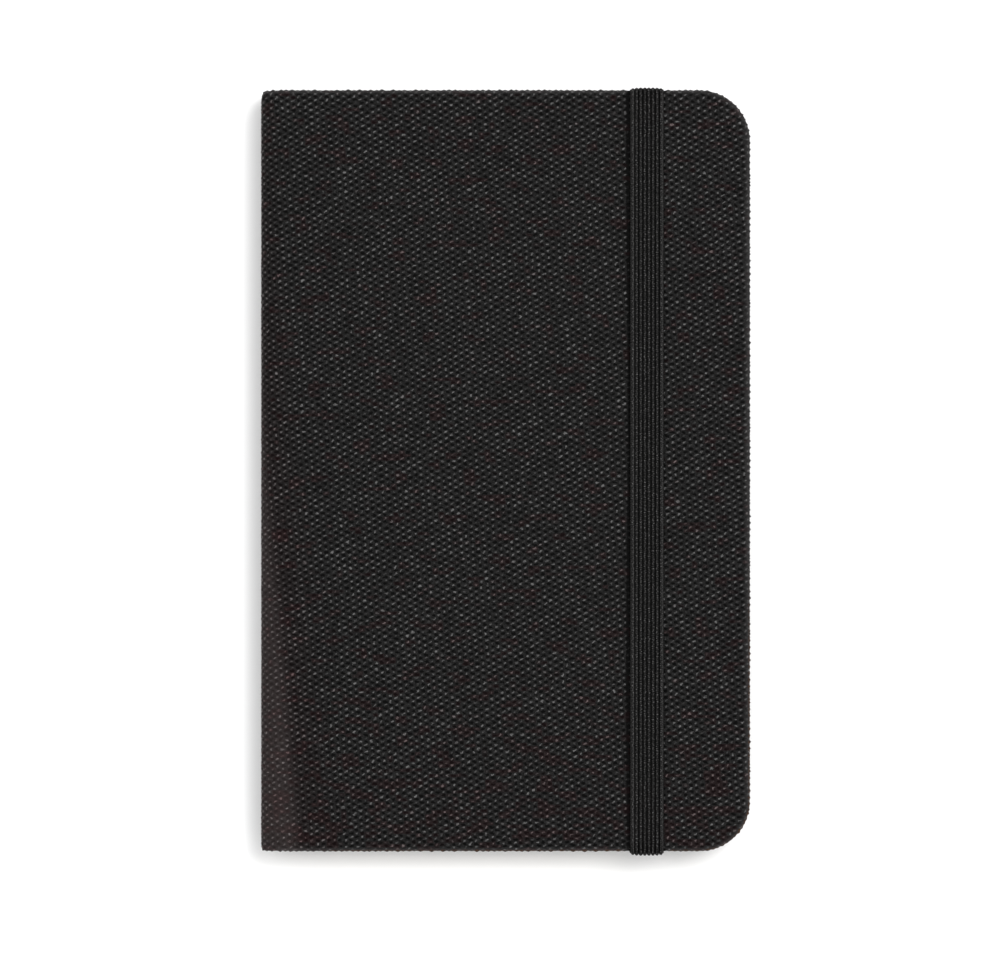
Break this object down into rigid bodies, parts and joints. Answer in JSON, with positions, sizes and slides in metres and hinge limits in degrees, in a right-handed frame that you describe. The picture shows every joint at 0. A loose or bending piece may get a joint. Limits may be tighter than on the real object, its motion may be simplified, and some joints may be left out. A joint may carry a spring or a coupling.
{
  "type": "pocket notebook",
  "caption": "Hardcover pocket notebook with a coarse black canvas case, rounded fore-edge corners, sewn pages and an elastic band that holds it shut.",
  "frame": {"origin": "middle of the footprint, on the surface that the closed notebook lies on with its front cover up", "axes": "+Z out of the front cover, +Y towards the head of the pages, +X towards the fore-edge, with the spine at -X"},
  "size_m": [0.09, 0.1416, 0.0173],
  "materials": {
    "canvas": "coarse black plain-weave canvas, matt",
    "elastic": "black ribbed braided elastic",
    "grey_board": "grey binder's board",
    "endpaper": "cream endpaper, matt",
    "page_paper": "cream writing paper, matt",
    "lining_paper": "brown spine lining paper",
    "gauze": "open starched gauze",
    "thread": "waxed linen thread",
    "headband_silk": "black woven headband"
  },
  "bodies": {
    "back_cover": {"back_cover_cloth": "canvas", "back_cover_board": "grey_board", "back_pastedown": "endpaper", "back_flyleaf": "endpaper", "signature_07": "page_paper", "signature_08": "page_paper", "signature_09": "page_paper", "signature_10": "page_paper", "signature_11": "page_paper", "signature_12": "page_paper", "elastic_side_head": "elastic", "elastic_side_tail": "elastic", "elastic_back_run_head": "elastic", "elastic_back_run_tail": "elastic", "elastic_anchor_head": "elastic", "elastic_anchor_tail": "elastic"},
    "spine": {"spine_cloth": "canvas", "spine_strip": "grey_board", "spine_lining": "lining_paper", "spine_mull": "gauze", "sewing_thread": "thread", "headband": "headband_silk", "tailband": "headband_silk"},
    "front_pages": {"front_flyleaf": "endpaper", "signature_01": "page_paper", "signature_02": "page_paper", "signature_03": "page_paper", "signature_04": "page_paper", "signature_05": "page_paper", "signature_06": "page_paper"},
    "front_cover": {"front_cover_cloth": "canvas", "front_cover_board": "grey_board", "front_pastedown": "endpaper"},
    "closure_band": {"elastic_front_run": "elastic"}
  },
  "joints": [
    {"name": "spine_hinge", "type": "hinge", "parent": "back_cover", "child": "spine", "pos_m": [-0.045, 0, 0.00165], "axis": [0, -1, 0], "range_deg": [0, 75]},
    {"name": "front_pages_hinge", "type": "hinge", "parent": "spine", "child": "front_pages", "pos_m": [-0.045, 0, 0.0157], "axis": [0, -1, 0], "range_deg": [0, 75]},
    {"name": "front_cover_hinge", "type": "hinge", "parent": "front_pages", "child": "front_cover", "pos_m": [-0.045, 0, 0.0157], "axis": [0, -1, 0], "range_deg": [0, 179]},
    {"name": "elastic_pull", "type": "slide", "parent": "back_cover", "child": "closure_band", "axis": [1, 0, 0], "range_m": [0, 0.024], "stiffness_N_per_m": 60}
  ],
  "couplings": [
    {"joint": "front_pages_hinge", "follows": "spine_hinge", "ratio": 1}
  ]
}
